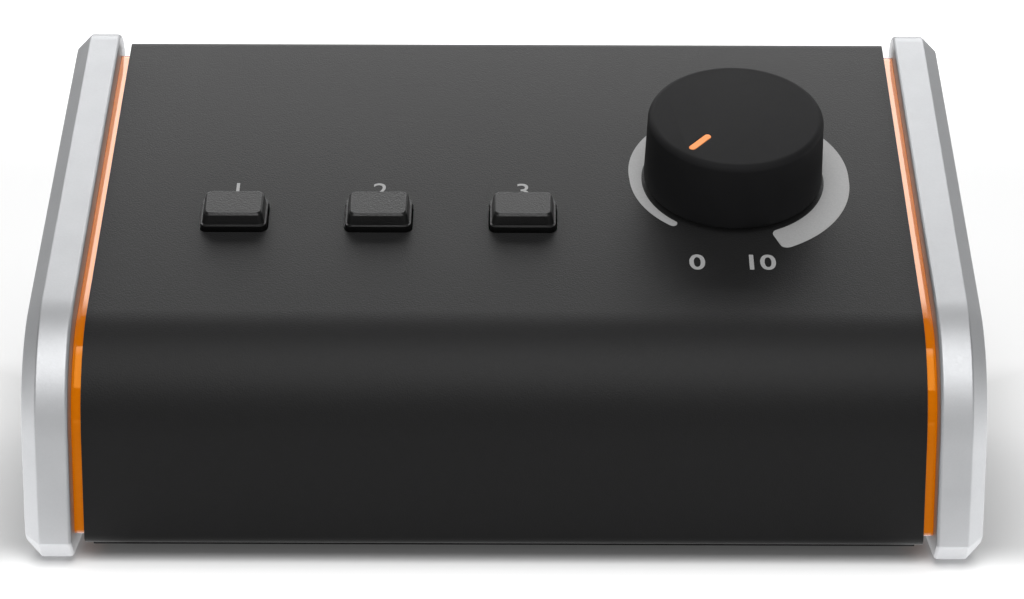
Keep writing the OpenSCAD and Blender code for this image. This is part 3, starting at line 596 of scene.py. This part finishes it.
# ---- Sockets on the back ----
# Two combined inputs in black moulded shells with a sprung latch tab, two outputs in nickel
# plated castings, a small jack between them, and the screws and pins that hold and wire them.
# The polyamide is a dull black, the castings are satin and the pins a warm yellow.
socket_plastic = moulded_plastic("socket_polyamide", "#1D1D1E", "#262627", grain_mm=0.25,
                                 rough=(0.4, 0.5), specular=0.45)
casting = plated_metal("nickel_plated_casting", "#A8A8A6", "#BDBDBB")
gold = plated_metal("gold_flash", "#CFA64C", "#E2BD66")
for side in ("left", "right"):
    for part, finish, width, whole in (
        ("combo_shell_", socket_plastic, 0.08, False),
        ("combo_core_", socket_plastic, 0.08, False),
        ("latch_", zinc, 0.2, True),
        ("output_shell_", casting, 0.05, True),
        ("output_insert_", socket_plastic, 0.15, True),
    ):
        coat(part + side, finish)
        soften(part + side, width, whole=whole)
for name, finish in (
    ("output_pins", gold),
    ("socket_screws", black_steel),
    ("socket_tails", tinned),
    ("mini_jack", socket_plastic),
    ("mini_jack_nut", nickel),
):
    coat(name, finish)
    soften(name, 0.1)

# ---- Printed scale and numbers ----
# Grey ink, screen printed on the panel: a wedge round the knob that widens towards the loud
# end, plain numbers above the buttons, and the scale's two ends under the knob.
turn = next(joint for joint in frame["joints"] if joint["name"] == "volume_turn")
knob_middle = Vector(turn["pos_m"])
right = Vector((1, 0, 0))
out_of_panel = -Vector(turn["axis"]).normalized()
up_panel = out_of_panel.cross(right).normalized()


def on_panel(x, up, out):
    """A point x mm right of the knob's axis and up mm up the slope, out mm off the panel."""
    return knob_middle + (right * x + up_panel * up + out_of_panel * out) * mm


def ink():
    """Screen ink: a flat mid grey that keeps a trace of the powder's grain."""
    material, tree, place = start("grey_screen_ink")
    grain_mm = 0.35
    grain_relief_mm = 0.02
    grain = add(tree, "TexNoise", {"Vector": place, "Scale": cells(grain_mm), "Detail": 2.0})
    tone = add(tree, "ValToRGB", {"Fac": grain.outputs["Fac"]})
    tone.color_ramp.elements[0].color = linear("#8C8C8C")
    tone.color_ramp.elements[1].color = linear("#9C9C9C")
    fine = add(tree, "Bump", {"Height": grain.outputs["Fac"], "Strength": 0.2,
                              "Distance": grain_relief_mm * mm})
    shader = add(tree, "BsdfPrincipled", {"Base Color": tone.outputs["Color"], "Normal": fine.outputs[0],
                                          "Roughness": 0.55, "Specular IOR Level": 0.25})
    add(tree, "OutputMaterial", {"Surface": shader.outputs[0]})
    return material


# The wedge's sizes in mm and degrees. It starts at its thin end, at the lower left, and turns
# clockwise. Both ends have round corners, so its ends are cut into finer steps than its middle.
grey_ink = ink()
ink_low = 0.005
ink_high = 0.03
scale_inner = 17.9
scale_thin_end = -128.0
scale_sweep = 300.6
scale_outer_thin = 19.5
scale_outer_thick = 23.85
scale_swell = 1.67
thin_round = 0.8
thick_round = 1.3
end_share = 0.02
end_steps = 40
middle_steps = 150


def scale_edges(share):
    """The angle and the inner and outer radius of the wedge, share of the way from its thin end."""
    angle = math.radians(scale_thin_end - scale_sweep * share)
    outer = scale_outer_thin + (scale_outer_thick - scale_outer_thin) * share
    outer += scale_swell * max(0.0, math.sin(angle))
    along = math.radians(scale_sweep) * scale_inner
    inner = scale_inner
    for distance, corner in ((along * share, thin_round), (along * (1 - share), thick_round)):
        if distance < corner:
            bite = corner - math.sqrt(corner**2 - (corner - distance) ** 2)
            inner += bite
            outer -= bite
    return angle, inner, outer


wedge = bmesh.new()
first = [i / end_steps * end_share for i in range(end_steps)]
middle = [end_share + i / middle_steps * (1 - 2 * end_share) for i in range(middle_steps + 1)]
last = [1 - share for share in reversed(first)]
rows = []
for share in first + middle + last:
    angle, inner, outer = scale_edges(share)
    rows.append([
        wedge.verts.new(on_panel(radius * math.cos(angle), radius * math.sin(angle), out))
        for radius, out in ((inner, ink_low), (inner, ink_high), (outer, ink_high), (outer, ink_low))
    ])
for near, far in zip(rows, rows[1:]):
    for i in range(4):
        wedge.faces.new((near[i], near[(i + 1) % 4], far[(i + 1) % 4], far[i]))
wedge.faces.new(rows[0])
wedge.faces.new(reversed(rows[-1]))
bmesh.ops.recalc_face_normals(wedge, faces=wedge.faces)
scale_mesh = bpy.data.meshes.new("printed_scale")
wedge.to_mesh(scale_mesh)
scale_mesh.materials.append(grey_ink)
scale = put("printed_scale", scale_mesh)
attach(scale, "chassis")

# The figures, in mm: they are 4.4 mm high, which is 0.7 of their font's size. Those of the
# scale's ends are a little bolder.
figure_height = 4.4
figure_share = 0.7
number_up = -6.0
end_up = -28.4
end_bold = 0.12
low_x = -8.0
high_x = 3.9


def printed(name, text, x, up, bold=0.0):
    """Plain figures as a thin layer of ink, their middle x mm right of the knob, up mm up the slope."""
    figures = bpy.data.curves.new(name, "FONT")
    figures.body = text
    figures.align_x = "CENTER"
    figures.size = figure_height / figure_share * mm
    figures.offset = bold * mm
    figures.extrude = ink_high / 2 * mm
    shape = put(name + "_shape", figures)
    mesh = bpy.data.meshes.new_from_object(shape.evaluated_get(bpy.context.evaluated_depsgraph_get()))
    bpy.data.objects.remove(shape)
    turned = Matrix((right, up_panel, out_of_panel)).transposed().to_4x4()
    mesh.transform(Matrix.Translation(on_panel(x, up, ink_high / 2 + ink_low)) @ turned)
    mesh.materials.clear()
    mesh.materials.append(grey_ink)
    piece = put(name, mesh)
    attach(piece, "chassis")


for number, button in enumerate(("left", "middle", "right"), start=1):
    low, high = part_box("button_cap_" + button)
    button_x = ((low.x + high.x) / 2 - knob_middle.x) / mm
    printed("number_" + str(number), str(number), button_x, number_up)
printed("number_low", "0", low_x, end_up, end_bold)
printed("number_high", "10", high_x, end_up, end_bold)
